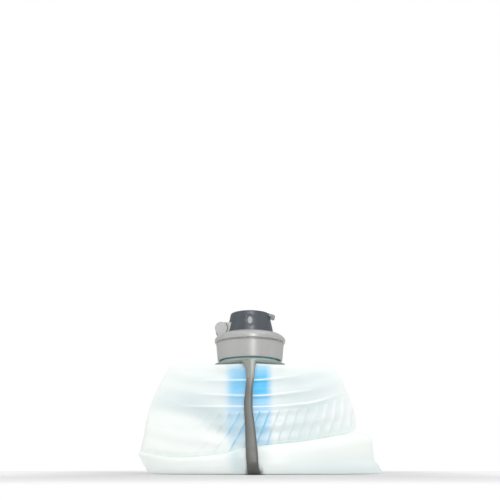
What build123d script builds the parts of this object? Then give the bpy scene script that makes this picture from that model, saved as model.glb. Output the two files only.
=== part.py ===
"""Folding water bottle, stowed: a soft shell pressed flat under a screw cap, with a filter inside.

Millimetres, +Z up, +X to the user's right, -Y towards the user.
The origin is on the floor, under the axis of the neck.
"""

import os
from math import atan, cos, sin, sqrt

from build123d import *

# ---------------------------------------------------------------- soft shell
shell_height = 73.6  # floor to the flat shoulder, folded
shell_left = 77.0  # reach of the folded wall to -X
shell_right = 88.0  # reach to +X, where the lowest fold sticks out
shell_depth = 35.5  # half of the depth, front to back
shell_wall = 1.2
shell_floor = 3.8  # the wall folds under itself here, so it is thicker
shell_tip_inset = 1.5  # a lens section loses this many walls at each pointed end
base_radius = 25.0  # stiff welded disc in the middle of the floor
base_round = 0.6
weld_gap = 0.05

shell_floor_margin = 2.0  # floor left in front of and behind the base disc
shell_shoulder_margin = 2.0  # shoulder left in front of and behind the neck's weld flange

# ---------------------------------------------------------------- neck and thread
neck_bore = 17.2  # radius
neck_wall = 2.3
neck_base_wall = 4.3  # the neck is thicker where it passes through the shell
neck_weld_flange = 3.0  # how far the hidden flange reaches past the neck base
neck_weld_thickness = 1.4
neck_bead = 0.9  # the bead that keeps the strap collar down, past the neck base
neck_bead_height = 1.8
neck_rise = 12.4  # threaded tube above the bead
thread_depth = 1.4
thread_pitch = 4.0
thread_root = 1.9  # width of a ridge at its root
thread_crest = 0.9  # and at its crest
thread_turns = 1.75
thread_sink = 0.3  # how far a ridge is buried in its wall
thread_clearance = 0.4  # crest of one thread to the wall of the other
fit_gap = 0.3  # between pieces that move past each other

# ---------------------------------------------------------------- carry strap
collar_thickness = 1.7
collar_round = 0.5
strap_thickness = 2.0
strap_clearance = 1.5  # from the shell to the inside of the loop
strap_foot_land = 3.0  # level run of the loop past the shell's floor, front and back
strap_shoulder_corner = 5.0
strap_belly_corner = 40.0
strap_belly_share = 0.3  # the loop is at its widest below this share of the height
strap_channel_side = 1.2
strap_channel_top = 0.4
# Share of the height, left edge and right edge of the strap, seen from the front.
strap_edges = (
    (1.05, -3.9, 3.9),
    (0.90, -2.5, 2.5),
    (0.68, -3.8, 1.7),
    (0.40, -3.0, 4.1),
    (0.14, -1.9, 6.0),
    (-0.03, -3.4, 8.6),
)

# ---------------------------------------------------------------- cap
cap_wall = 1.6
cap_taper = 1.2  # the skirt widens this much from its lip to its top
cap_lip_gap = 0.7  # between the neck bead and the lip of the skirt
cap_rim = 1.1  # the deck overhangs the skirt
cap_lip_round = 0.5
gasket_thickness = 1.3
gasket_side_gap = 0.8
cap_groove_height = 0.8  # groove between the skirt and the deck's brim
cap_groove_depth = 0.8
deck_height = 6.2
deck_edge = 2.2  # height of the deck's upright edge
deck_swell = 1.1  # how far the brim is domed
deck_land = 1.2  # level ring left round the lid
deck_round = 0.4
deck_tongue = 1.5
deck_tongue_width = 0.9
deck_tongue_gap = 0.05
socket_bore = 6.6  # radius of the filter socket and of the spout seat
socket_wall = 2.6
socket_depth = 9.3

# ---------------------------------------------------------------- spout
spout_stub = 4.0
spout_flange = 4.0
spout_flange_height = 1.5
spout_base = 8.0
spout_tip = 7.0
spout_height = 8.5
spout_bore = 3.3
spout_lip = 1.6  # height of the lip at the tip
spout_lip_undercut = 0.8
spout_groove = 0.5
spout_round = 0.6

# ---------------------------------------------------------------- flip lid
lid_base = 17.0
lid_top = 13.9
lid_height = 14.6
lid_dome = 2.2
lid_wall = 1.6
lid_round = 0.8
lid_seat_gap = 0.3
liner_thickness = 1.6
pad_radius = 6.8
pad_gap = 0.05
plug_depth = 1.2
plug_gap = 0.5
hinge_rise = 3.5  # hinge axis above the deck
knuckle_radius = 4.2
knuckle_width = 9.8
ear_radius = 4.4
ear_foot_half_width = 3.6  # reach of an ear's foot towards the lid
ear_foot_outer = 2.0  # and away from it
ear_root = 2.4  # height above the skirt where an ear's foot starts
ear_width = 3.0
ear_gap = 0.3
ear_lid_gap = 0.6  # from an ear to the side of the lid
pin_radius = 1.3
pin_clearance = 0.06
pin_inset = 0.6  # skin of the front ear, whose hole is blind
pin_chamfer = 0.25
tongue_height = 6.2  # web between the lid and its knuckle
tab_length = 4.3
tab_half_width = 5.0
tab_thickness = 2.0
tab_drop = 3.2
tab_nose = 1.2  # length of the tab's bevelled nose
tab_round = 0.5
badge_half_width = 3.8
badge_half_height = 4.6
badge_depth = 0.9
badge_plate_thickness = 0.45
badge_inlay_half_width = 1.75
badge_inlay_half_height = 2.8
badge_rise = 7.2  # centre of the badge above the lid's lower edge
badge_gap = 0.1
badge_round = 0.2

# ---------------------------------------------------------------- filter
filter_side_gap = 1.7  # between the filter and the neck bore
filter_wall = 1.5
filter_head_height = 3.5
filter_head_gap = 1.5  # between the socket's mouth and the filter head
spigot_wall = 3.8
spigot_length = 10.0
spigot_gap = 0.2
ring_section = 0.8  # radius of an O-ring's section
ring_first = 3.6  # first groove above the head
ring_step = 3.2
ring_gap = 0.06
housing_length = 34.0
cage_length = 20.0
cage_slots = 12
cage_slot_width = 4.0
cage_rim = 3.0
fibre_round = 4.0
potting_thickness = 5.0
potting_down = 2.0
fibre_gap = 1.5
fibre_end_gap = 2.5
end_cap_thickness = 3.0
end_cap_lip = 2.0
end_cap_hole = 1.6
end_cap_circle = 8.0
end_cap_round = 1.2

# ---------------------------------------------------------------- places that follow
neck_outer = neck_bore + neck_wall
neck_base_outer = neck_bore + neck_base_wall
floor_depth = base_radius + shell_floor_margin
shoulder_depth = neck_base_outer + neck_weld_flange + shell_shoulder_margin

# Shares of the height, left reach and right reach, then the depth, from the floor up.
shell_profile = (
    (0.00, 0.88, 0.975, floor_depth),
    (0.08, 0.97, 1.00, 0.93 * shell_depth),
    (0.18, 1.00, 0.98, shell_depth),
    (0.30, 0.99, 0.945, 0.96 * shell_depth),
    (0.38, 0.97, 0.85, 0.87 * shell_depth),
    (0.54, 0.95, 0.85, 0.87 * shell_depth),
    (0.77, 0.87, 0.785, 0.88 * shell_depth),
    (0.95, 0.78, 0.695, shoulder_depth + shell_wall),
    (1.00, 0.74, 0.655, shoulder_depth),
)

bead_outer = neck_base_outer + neck_bead
collar_bottom = shell_height + fit_gap
collar_top = collar_bottom + collar_thickness
bead_bottom = collar_top + weld_gap
bead_top = bead_bottom + neck_bead_height
neck_top = bead_top + neck_rise
weld_top = shell_height - shell_wall - fit_gap
thread_crest_radius = neck_outer + thread_depth
cap_inner = thread_crest_radius + thread_clearance
cap_lip_outer = cap_inner + cap_wall
cap_top_outer = cap_lip_outer + cap_taper
rim_outer = cap_top_outer + cap_rim
skirt_bottom = bead_top + cap_lip_gap
deck_bottom = neck_top + pad_gap + gasket_thickness + pad_gap
deck_top = deck_bottom + deck_height
thread_start = bead_top + cap_lip_gap + thread_root
socket_outer = socket_bore + socket_wall
socket_bottom = deck_bottom - socket_depth
strap_axis_height = collar_bottom + strap_thickness / 2
strap_reach = shell_depth + strap_clearance + strap_thickness
strap_shoulder = shoulder_depth + shell_wall + strap_clearance + strap_thickness
strap_foot_corner = strap_reach - floor_depth - strap_foot_land
strap_foot_middle = (strap_edges[-1][1] + strap_edges[-1][2]) / 2
strap_foot_width = strap_edges[-1][2] - strap_edges[-1][1]
channel_height = strap_thickness + strap_channel_top
spout_bottom = deck_top - spout_stub
spout_shoulder = deck_top + spout_flange_height
spout_top = spout_shoulder + spout_height
lid_bottom = deck_top + lid_seat_gap
lid_shoulder = lid_bottom + lid_height
lid_apex = lid_shoulder + lid_dome
hinge_z = deck_top + hinge_rise
lid_slope = atan((lid_base - lid_top) / lid_height)
lid_at_hinge = lid_base - (hinge_z - lid_bottom) * (lid_base - lid_top) / lid_height
ear_inner = knuckle_width / 2 + ear_gap
ear_reach = max(
    sqrt(lid_at_hinge**2 - ear_inner**2) + ear_radius,
    sqrt(lid_base**2 - ear_inner**2) + ear_foot_half_width,
)
hinge_x = -(ear_reach + ear_lid_gap)
filter_outer = neck_bore - filter_side_gap
head_top = socket_bottom - filter_head_gap
head_bottom = head_top - filter_head_height
spigot_outer = socket_bore - spigot_gap
ring_outer = socket_bore - ring_gap
groove_radius = ring_outer - 2 * ring_section
housing_bottom = head_bottom - housing_length
cage_bottom = housing_bottom - cage_length
filter_inner = filter_outer - filter_wall

parts = []


def finish(part, name):
    """Label a finished piece and keep it for export."""
    part.part.label = name
    parts.append(part.part)


def lens(height, left, right, depth):
    """Draw a lens-shaped section of the folded wall: two arcs that meet at the side creases."""
    middle = (right - left) / 2
    with BuildSketch(Plane.XY.offset(height)) as section:
        with BuildLine():
            ThreePointArc((-left, 0), (middle, -depth), (right, 0))
            ThreePointArc((right, 0), (middle, depth), (-left, 0))
        make_face()
    return section.sketch


def shell_sections(inset, bottom, top):
    """Sections of the folded wall, drawn in by inset, from the bottom height to the top height."""
    heights = [share * shell_height for share, _, _, _ in shell_profile]
    heights[0], heights[-1] = bottom, top
    return [
        lens(
            height,
            left * shell_left - shell_tip_inset * inset,
            right * shell_right - shell_tip_inset * inset,
            depth - inset,
        )
        for height, (_, left, right, depth) in zip(heights, shell_profile)
    ]


# ---------------------------------------------------------------- bottle_shell
with BuildPart() as bottle_shell:
    loft(sections=shell_sections(0, 0, shell_height), ruled=True)
    loft(
        sections=shell_sections(shell_wall, shell_floor, shell_height - shell_wall),
        ruled=True,
        mode=Mode.SUBTRACT,
    )
    with BuildSketch(Plane.XY.offset(shell_height / 2)):
        Circle(neck_base_outer + fit_gap)
    extrude(amount=shell_height, mode=Mode.SUBTRACT)
    with BuildSketch(Plane.XY):
        Circle(base_radius + weld_gap)
    extrude(amount=shell_floor + weld_gap, mode=Mode.SUBTRACT)
    with BuildSketch(Plane.XY):
        with Locations((strap_foot_middle, 0)):
            Rectangle(strap_foot_width + 2 * strap_channel_side, 3 * shell_depth)
    extrude(amount=channel_height, mode=Mode.SUBTRACT)
finish(bottle_shell, "bottle_shell")

# ---------------------------------------------------------------- base_disc
with BuildPart() as base_disc:
    with BuildSketch(Plane.XY):
        Circle(base_radius)
    extrude(amount=shell_floor)
    fillet(base_disc.edges().group_by(Axis.Z)[-1], radius=base_round)
    with BuildSketch(Plane.XY):
        with Locations((strap_foot_middle, 0)):
            Rectangle(strap_foot_width + 2 * strap_channel_side, 3 * base_radius)
    extrude(amount=channel_height, mode=Mode.SUBTRACT)
finish(base_disc, "base_disc")


def thread_ridge(wall_radius, outward, start):
    """Sweep one trapezoid ridge along a helix on a round wall, added to the part being built."""
    reach = thread_depth if outward else -thread_depth
    buried = -thread_sink if outward else thread_sink
    with BuildLine():
        path = Helix(thread_pitch, thread_pitch * thread_turns, wall_radius, center=(0, 0, start))
    with BuildSketch(Plane(path @ 0, x_dir=(1, 0, 0), z_dir=path % 0)) as ridge:
        with BuildLine():
            Polyline(
                (buried, -thread_root / 2),
                (reach, -thread_crest / 2),
                (reach, thread_crest / 2),
                (buried, thread_root / 2),
                close=True,
            )
        make_face()
    sweep(sections=ridge.sketch, path=path, is_frenet=True)


# ---------------------------------------------------------------- neck_ring
with BuildPart() as neck_ring:
    with BuildSketch(Plane.XZ):
        with BuildLine():
            Polyline(
                (neck_bore, weld_top - neck_weld_thickness),
                (neck_base_outer + neck_weld_flange, weld_top - neck_weld_thickness),
                (neck_base_outer + neck_weld_flange, weld_top),
                (neck_base_outer, weld_top),
                (neck_base_outer, bead_bottom),
                (bead_outer, bead_bottom),
                (bead_outer, bead_top - neck_bead),
                (bead_outer - neck_bead, bead_top),
                (neck_outer, bead_top),
                (neck_outer, neck_top),
                (neck_bore, neck_top),
                close=True,
            )
        make_face()
    revolve(axis=Axis.Z)
    thread_ridge(neck_outer, True, thread_start)
finish(neck_ring, "neck_ring")

# ---------------------------------------------------------------- strap_collar
with BuildPart() as strap_collar:
    with BuildSketch(Plane.XY.offset(collar_bottom)):
        Circle(rim_outer)
        Circle(neck_base_outer + fit_gap, mode=Mode.SUBTRACT)
    extrude(amount=collar_thickness)
    fillet(strap_collar.edges().group_by(SortBy.LENGTH)[-1], radius=collar_round)
finish(strap_collar, "strap_collar")


def strap_outline(inset):
    """Outline of the strap's loop seen from the side, drawn in by inset."""
    top = strap_axis_height + strap_thickness / 2 - inset
    belly = strap_belly_share * shell_height
    shoulder = strap_shoulder - inset
    reach = strap_reach - inset
    half_radii = [
        strap_shoulder_corner - inset,
        strap_belly_corner - inset,
        strap_foot_corner - inset,
    ]
    FilletPolyline(
        (-shoulder, top),
        (-reach, belly),
        (-reach, inset),
        (reach, inset),
        (reach, belly),
        (shoulder, top),
        radius=half_radii + half_radii[::-1],
        close=True,
    )


# ---------------------------------------------------------------- carry_strap
with BuildPart() as carry_strap:
    with BuildSketch(Plane.YZ):
        with BuildLine():
            strap_outline(0)
        make_face()
        with BuildLine():
            strap_outline(strap_thickness)
        make_face(mode=Mode.SUBTRACT)
        with Locations((0, strap_axis_height)):
            Rectangle(2 * (rim_outer + fit_gap), 3 * strap_thickness, mode=Mode.SUBTRACT)
    extrude(amount=strap_foot_width, both=True)
    with BuildSketch(Plane.XZ):
        with BuildLine():
            left_edge = Spline([(left, share * shell_height) for share, left, _ in strap_edges])
            right_edge = Spline([(right, share * shell_height) for share, _, right in strap_edges])
            Line(left_edge @ 0, right_edge @ 0)
            Line(left_edge @ 1, right_edge @ 1)
        make_face()
    extrude(amount=2 * strap_reach, both=True, mode=Mode.INTERSECT)
finish(carry_strap, "carry_strap")

# ---------------------------------------------------------------- cap_gasket
with BuildPart() as cap_gasket:
    with BuildSketch(Plane.XY.offset(neck_top + pad_gap)):
        Circle(cap_inner - gasket_side_gap)
        Circle(neck_bore + gasket_side_gap / 2, mode=Mode.SUBTRACT)
    extrude(amount=gasket_thickness)
finish(cap_gasket, "cap_gasket")

# ---------------------------------------------------------------- cap_skirt
tongue_middle = (cap_inner + cap_top_outer - cap_groove_depth) / 2
with BuildPart() as cap_skirt:
    with BuildSketch(Plane.XZ):
        with BuildLine():
            Polyline(
                (cap_inner, skirt_bottom),
                (cap_lip_outer, skirt_bottom),
                (cap_top_outer, deck_bottom - cap_groove_height),
                (cap_top_outer - cap_groove_depth, deck_bottom - cap_groove_height),
                (cap_top_outer - cap_groove_depth, deck_bottom),
                (cap_inner, deck_bottom),
                close=True,
            )
        make_face()
        with Locations((tongue_middle, deck_bottom)):
            Rectangle(deck_tongue_width, 2 * deck_tongue)
    revolve(axis=Axis.Z)
    fillet(cap_skirt.edges().group_by(Axis.Z)[0].sort_by(SortBy.LENGTH)[-1], radius=cap_lip_round)
    fillet(cap_skirt.edges().sort_by(SortBy.LENGTH)[-1], radius=cap_lip_round)
    thread_ridge(cap_inner, False, thread_start + thread_pitch / 2)
finish(cap_skirt, "cap_skirt")

# ---------------------------------------------------------------- spout_deck
pin_half = ear_inner + ear_width - pin_inset
ear_foot = hinge_z - deck_bottom - ear_root
with BuildPart() as spout_deck:
    with BuildSketch(Plane.XZ):
        with BuildLine():
            Polyline(
                (socket_bore, socket_bottom),
                (socket_outer, socket_bottom),
                (socket_outer, deck_bottom),
                (rim_outer, deck_bottom),
                (rim_outer, deck_bottom + deck_edge),
            )
            SagittaArc(
                (rim_outer, deck_bottom + deck_edge), (lid_base + deck_land, deck_top), -deck_swell
            )
            Polyline(
                (lid_base + deck_land, deck_top),
                (socket_bore, deck_top),
                (socket_bore, socket_bottom),
            )
        make_face()
        with Locations((tongue_middle, deck_bottom)):
            Rectangle(
                deck_tongue_width + 2 * deck_tongue_gap,
                2 * (deck_tongue + deck_tongue_gap),
                mode=Mode.SUBTRACT,
            )
    revolve(axis=Axis.Z)
    rim_edges = spout_deck.edges().filter_by(GeomType.CIRCLE).sort_by(SortBy.RADIUS)[-2:]
    fillet(rim_edges, radius=deck_round)
    for ear_start in (ear_inner, -ear_inner - ear_width):
        with BuildSketch(Plane.XZ.offset(ear_start)):
            with Locations((hinge_x, hinge_z)):
                Circle(ear_radius)
            with Locations((hinge_x - ear_foot_outer, hinge_z)):
                Rectangle(
                    ear_foot_outer + ear_foot_half_width, ear_foot, align=(Align.MIN, Align.MAX)
                )
        extrude(amount=ear_width)
    with BuildSketch(Plane.XZ.offset(pin_half)):
        with Locations((hinge_x, hinge_z)):
            Circle(pin_radius)
    extrude(amount=-pin_half - lid_base, mode=Mode.SUBTRACT)
    with BuildSketch(Plane.XZ):
        with Locations((hinge_x, hinge_z)):
            Circle(knuckle_radius + ear_gap)
    extrude(amount=ear_inner, both=True, mode=Mode.SUBTRACT)
finish(spout_deck, "spout_deck")

# ---------------------------------------------------------------- hinge_pin
with BuildPart() as hinge_pin:
    with BuildSketch(Plane.XZ):
        with Locations((hinge_x, hinge_z)):
            Circle(pin_radius)
    extrude(amount=pin_half, both=True)
    chamfer(hinge_pin.edges(), length=pin_chamfer)
finish(hinge_pin, "hinge_pin")

# ---------------------------------------------------------------- drink_spout
with BuildPart() as drink_spout:
    with BuildSketch(Plane.XZ):
        with BuildLine():
            Polyline(
                (spout_bore, spout_bottom),
                (socket_bore - deck_tongue_gap, spout_bottom),
                (socket_bore - deck_tongue_gap, deck_top),
                (socket_bore + spout_flange, deck_top),
                (socket_bore + spout_flange, spout_shoulder),
                (spout_base, spout_shoulder),
                (spout_tip - spout_groove, spout_top - spout_lip - spout_lip_undercut),
                (spout_tip, spout_top - spout_lip),
                (spout_tip, spout_top),
                (spout_bore, spout_top),
                close=True,
            )
        make_face()
    revolve(axis=Axis.Z)
    fillet(drink_spout.faces().sort_by(Axis.Z)[-1].edges(), radius=spout_round)
finish(drink_spout, "drink_spout")

# ---------------------------------------------------------------- flip_lid
badge_height = lid_bottom + badge_rise
badge_radius = lid_base - badge_rise * (lid_base - lid_top) / lid_height
badge_plane = Plane(
    (0, -badge_radius, badge_height),
    x_dir=(1, 0, 0),
    z_dir=(0, -cos(lid_slope), sin(lid_slope)),
)
lid_ceiling = lid_shoulder - lid_wall + lid_dome / 2
inner_top = lid_top - lid_wall
dome_radius = (lid_top**2 + lid_dome**2) / (2 * lid_dome)
dome_middle = lid_apex - dome_radius + sqrt(dome_radius**2 - (lid_top / 2) ** 2)
with BuildPart() as flip_lid:
    with BuildSketch(Plane.XZ):
        with BuildLine():
            Polyline(
                (0, lid_ceiling),
                (inner_top, lid_ceiling),
                (lid_base - lid_wall, lid_bottom),
                (lid_base, lid_bottom),
                (lid_top, lid_shoulder),
            )
            ThreePointArc((lid_top, lid_shoulder), (lid_top / 2, dome_middle), (0, lid_apex))
            Line((0, lid_apex), (0, lid_ceiling))
        make_face()
    revolve(axis=Axis.Z)
    shoulder_edge = flip_lid.edges().filter_by(
        lambda edge: abs(edge.center().Z - lid_shoulder) < weld_gap
    )
    fillet(shoulder_edge, radius=lid_round)
    with BuildSketch(Plane.XZ):
        with Locations((hinge_x, hinge_z)):
            Circle(knuckle_radius)
        with Locations(((hinge_x + lid_wall - lid_at_hinge) / 2, hinge_z)):
            Rectangle(lid_wall - lid_at_hinge - hinge_x, tongue_height)
    extrude(amount=knuckle_width / 2, both=True)
    with BuildSketch(Plane.XZ):
        with Locations((hinge_x, hinge_z)):
            Circle(pin_radius + pin_clearance)
    extrude(amount=knuckle_width, both=True, mode=Mode.SUBTRACT)
    with BuildSketch(Plane.XZ):
        with BuildLine():
            root = lid_top - lid_wall / 2
            tip = lid_top + tab_length
            Polyline(
                (root, lid_shoulder),
                (tip - tab_nose, lid_shoulder - tab_drop + tab_thickness),
                (tip, lid_shoulder - tab_drop + tab_thickness / 2),
                (tip - tab_nose, lid_shoulder - tab_drop),
                (root, lid_shoulder - tab_thickness),
                close=True,
            )
        make_face()
    extrude(amount=tab_half_width, both=True)
    fillet(flip_lid.edges().group_by(Axis.X)[-1], radius=tab_round)
    with BuildSketch(badge_plane):
        Ellipse(badge_half_width, badge_half_height)
    extrude(amount=-badge_depth, mode=Mode.SUBTRACT)
finish(flip_lid, "flip_lid")

# ---------------------------------------------------------------- badge_plate, badge_inlay
with BuildPart() as badge_plate:
    with BuildSketch(badge_plane.offset(-badge_depth)):
        Ellipse(badge_half_width - badge_gap, badge_half_height - badge_gap)
    extrude(amount=badge_plate_thickness)
finish(badge_plate, "badge_plate")

with BuildPart() as badge_inlay:
    with BuildSketch(badge_plane.offset(badge_plate_thickness - badge_depth)):
        Ellipse(badge_inlay_half_width, badge_inlay_half_height)
    extrude(amount=badge_depth - badge_plate_thickness)
    fillet(badge_inlay.faces().sort_by(Axis.Y)[0].edges(), radius=badge_round)
finish(badge_inlay, "badge_inlay")

# ---------------------------------------------------------------- lid_liner
pad_bottom = spout_top + pad_gap
pad_top = pad_bottom + liner_thickness
with BuildPart() as lid_liner:
    with BuildSketch(Plane.XY.offset(pad_top)):
        Circle(inner_top - badge_gap)
    extrude(amount=lid_ceiling - pad_top)
    with BuildSketch(Plane.XY.offset(pad_top)):
        Circle(pad_radius + liner_thickness)
        Circle(pad_radius + badge_gap, mode=Mode.SUBTRACT)
    extrude(amount=-liner_thickness)
finish(lid_liner, "lid_liner")

# ---------------------------------------------------------------- lid_pad
plug_radius = spout_bore - plug_gap
with BuildPart() as lid_pad:
    with BuildSketch(Plane.XZ):
        with BuildLine():
            Polyline(
                (0, pad_bottom - plug_depth),
                (plug_radius - plug_depth / 2, pad_bottom - plug_depth),
                (plug_radius, pad_bottom),
                (pad_radius, pad_bottom),
                (pad_radius, pad_top),
                (0, pad_top),
                close=True,
            )
        make_face()
    revolve(axis=Axis.Z)
finish(lid_pad, "lid_pad")

# ---------------------------------------------------------------- filter_head
spigot_top = head_top + spigot_length
groove_heights = [head_top + ring_first + ring_step * i for i in range(2)]
with BuildPart() as filter_head:
    with BuildSketch(Plane.XZ):
        with BuildLine():
            Polyline(
                (spigot_outer - spigot_wall, head_bottom),
                (filter_outer, head_bottom),
                (filter_outer, head_top - 1),
                (filter_outer - 1, head_top),
                (spigot_outer, head_top),
                (spigot_outer, spigot_top),
                (spigot_outer - spigot_wall, spigot_top),
                close=True,
            )
        make_face()
        with Locations([(spigot_outer, height) for height in groove_heights]):
            Rectangle(
                2 * (spigot_outer - groove_radius), 2 * ring_section, mode=Mode.SUBTRACT
            )
    revolve(axis=Axis.Z)
finish(filter_head, "filter_head")

# ---------------------------------------------------------------- filter_o_rings
with BuildPart() as filter_o_rings:
    with BuildSketch(Plane.XZ):
        with Locations([(ring_outer - ring_section, height) for height in groove_heights]):
            Circle(ring_section)
    revolve(axis=Axis.Z)
finish(filter_o_rings, "filter_o_rings")

# ---------------------------------------------------------------- filter_housing
with BuildPart() as filter_housing:
    with BuildSketch(Plane.XY.offset(housing_bottom)):
        Circle(filter_outer)
        Circle(filter_inner, mode=Mode.SUBTRACT)
    extrude(amount=housing_length)
finish(filter_housing, "filter_housing")

# ---------------------------------------------------------------- filter_cage
with BuildPart() as filter_cage:
    with BuildSketch(Plane.XY.offset(cage_bottom)):
        Circle(filter_outer)
        Circle(filter_inner, mode=Mode.SUBTRACT)
    extrude(amount=cage_length)
    slot_height = cage_length - 2 * cage_rim
    with Locations(Plane.XY.offset(cage_bottom + cage_length / 2)):
        with PolarLocations(filter_outer, cage_slots):
            Box(4 * filter_wall, cage_slot_width, slot_height, mode=Mode.SUBTRACT)
finish(filter_cage, "filter_cage")

# ---------------------------------------------------------------- filter_potting
potting_bottom = head_bottom - potting_down - potting_thickness
with BuildPart() as filter_potting:
    with BuildSketch(Plane.XY.offset(potting_bottom)):
        Circle(filter_inner - weld_gap)
    extrude(amount=potting_thickness)
finish(filter_potting, "filter_potting")

# ---------------------------------------------------------------- filter_fibres
fibre_bottom = cage_bottom + fibre_end_gap
with BuildPart() as filter_fibres:
    with BuildSketch(Plane.XY.offset(fibre_bottom)):
        Circle(filter_inner - fibre_gap)
    extrude(amount=potting_bottom - fibre_bottom)
    fillet(filter_fibres.edges().group_by(Axis.Z)[0], radius=fibre_round)
finish(filter_fibres, "filter_fibres")

# ---------------------------------------------------------------- filter_end_cap
with BuildPart() as filter_end_cap:
    with BuildSketch(Plane.XY.offset(cage_bottom - end_cap_thickness)):
        Circle(filter_outer)
    extrude(amount=end_cap_thickness)
    fillet(filter_end_cap.edges().group_by(Axis.Z)[0], radius=end_cap_round)
    with BuildSketch(Plane.XY.offset(cage_bottom)):
        Circle(filter_inner - badge_gap)
        Circle(filter_inner - filter_wall, mode=Mode.SUBTRACT)
    extrude(amount=end_cap_lip)
    with Locations(Plane.XY.offset(cage_bottom)):
        with PolarLocations(end_cap_circle, 8):
            Hole(end_cap_hole, depth=end_cap_thickness)
        Hole(end_cap_hole, depth=end_cap_thickness)
finish(filter_end_cap, "filter_end_cap")

os.makedirs("parts", exist_ok=True)
for part in parts:
    export_step(part, f"parts/{part.label}.step")

print(f"deck top {deck_top:.2f}, lid apex {lid_apex:.2f}, hinge {hinge_x:.2f} {hinge_z:.2f}")
print(f"strap axis {strap_axis_height:.2f}, cage bottom {cage_bottom:.2f}, rim {rim_outer:.2f}")
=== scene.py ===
"""Folding water bottle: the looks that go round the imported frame.

The frame gives the hard parts, such as the cap, lid, neck and filter, at their real size and place.
This script adds the folded film, the moulded strap, the hinge cheeks and the filter's fibres, and
gives every part its finish. Sizes are in metres; tables whose names end in _MM hold millimetres.
"""

import logging
from collections.abc import Iterable
from dataclasses import dataclass, field
from enum import Enum
from math import radians

import bpy
import numpy as np
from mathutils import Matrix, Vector


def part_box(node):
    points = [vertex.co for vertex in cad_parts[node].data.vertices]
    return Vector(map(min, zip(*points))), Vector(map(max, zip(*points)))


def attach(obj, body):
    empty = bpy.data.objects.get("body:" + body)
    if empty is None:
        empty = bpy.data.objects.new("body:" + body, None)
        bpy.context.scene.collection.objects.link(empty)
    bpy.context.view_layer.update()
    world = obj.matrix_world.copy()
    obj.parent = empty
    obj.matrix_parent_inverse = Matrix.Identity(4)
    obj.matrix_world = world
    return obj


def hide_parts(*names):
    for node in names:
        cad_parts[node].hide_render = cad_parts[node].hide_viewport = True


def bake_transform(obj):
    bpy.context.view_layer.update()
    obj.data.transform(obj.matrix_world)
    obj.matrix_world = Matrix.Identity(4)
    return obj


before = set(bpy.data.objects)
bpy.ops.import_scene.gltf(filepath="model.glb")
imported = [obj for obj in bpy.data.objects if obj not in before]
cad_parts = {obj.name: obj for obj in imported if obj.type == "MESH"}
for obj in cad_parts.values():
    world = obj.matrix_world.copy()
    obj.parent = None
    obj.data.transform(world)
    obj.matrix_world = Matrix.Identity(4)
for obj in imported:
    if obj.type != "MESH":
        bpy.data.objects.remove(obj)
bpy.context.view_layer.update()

MM = 0.001
# Places across the film where its heights are given, from the left crease at -1 to the right one at 1.
STATIONS = (-1.0, -0.6, -0.25, 0.0, 0.5, 1.0)
Colour = tuple[float, float, float]
log = logging.getLogger("folding_bottle")


# ---------- surfaces


def smoothstep(low: float, high: float, value: np.ndarray) -> np.ndarray:
    """Rise from 0 at low to 1 at high as 3t^2 - 2t^3, where t is the share of the way.

    Args:
        low: value where the rise starts.
        high: value where it ends.
        value: array of values.

    Returns:
        An array of shares from 0 to 1.
    """
    t = np.clip((value - low) / (high - low), 0.0, 1.0)
    return t * t * (3.0 - 2.0 * t)


def bell(value: np.ndarray, centre: float | np.ndarray, width: float) -> np.ndarray:
    """Bell curve exp(-((value - centre) / width)^2)."""
    return np.exp(-(((value - centre) / width) ** 2))


def across(s: np.ndarray, heights: tuple[float, ...]) -> np.ndarray:
    """Smooth curve across the film, through one height at each of the STATIONS.

    Args:
        s: share of the way from the left crease, -1, to the right one, 1.
        heights: height at each station.

    Returns:
        Heights at s.
    """
    curve = monotone_spline(np.array(STATIONS), np.array(heights)[:, None], s.ravel())
    return curve.reshape(s.shape)


def monotone_spline(knots: np.ndarray, values: np.ndarray, at: np.ndarray) -> np.ndarray:
    """Cubic Hermite curve through values that never overshoots them.

    The slope at a knot is the harmonic mean of the two chords beside it, or zero where the chords
    point opposite ways, and each span is h00 a + h10 d ma + h01 b + h11 d mb.

    Args:
        knots: rising positions of the values, shape (K,).
        values: values at the knots, shape (K, M).
        at: positions to evaluate, shape (R,).

    Returns:
        Values at those positions, shape (R, M).
    """
    step = np.diff(knots)[:, None]
    chord = np.diff(values, axis=0) / step
    same_way = chord[1:] * chord[:-1] > 0
    total = np.where(same_way, chord[1:] + chord[:-1], 1.0)
    inner = np.where(same_way, 2.0 * chord[1:] * chord[:-1] / total, 0.0)
    slope = np.concatenate([chord[:1], inner, chord[-1:]])
    span = np.clip(np.searchsorted(knots, at, side="right") - 1, 0, len(knots) - 2)
    d = step[span]
    t = ((at - knots[span]) / d[:, 0])[:, None]
    h01 = t * t * (3.0 - 2.0 * t)
    h10 = t * (1.0 - t) ** 2
    h11 = -t * t * (1.0 - t)
    a, b = values[span], values[span + 1]
    return (1.0 - h01) * a + h10 * d * slope[span] + h01 * b + h11 * d * slope[span + 1]


def grid_quads(rows: int, columns: int, wrap: bool = True) -> np.ndarray:
    """Four-sided faces of a grid of rows by columns points, joined round each row if wrap is true.

    Args:
        rows: number of rows.
        columns: number of points in a row.
        wrap: whether the last column joins the first.

    Returns:
        Point indices, shape (faces, 4).
    """
    row, column = np.meshgrid(
        np.arange(rows - 1), np.arange(columns if wrap else columns - 1), indexing="ij"
    )
    after = (column + 1) % columns
    corners = (row * columns + column, row * columns + after)
    above = (corners[1] + columns, corners[0] + columns)
    return np.stack([*corners, *above], axis=-1).reshape(-1, 4)


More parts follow.
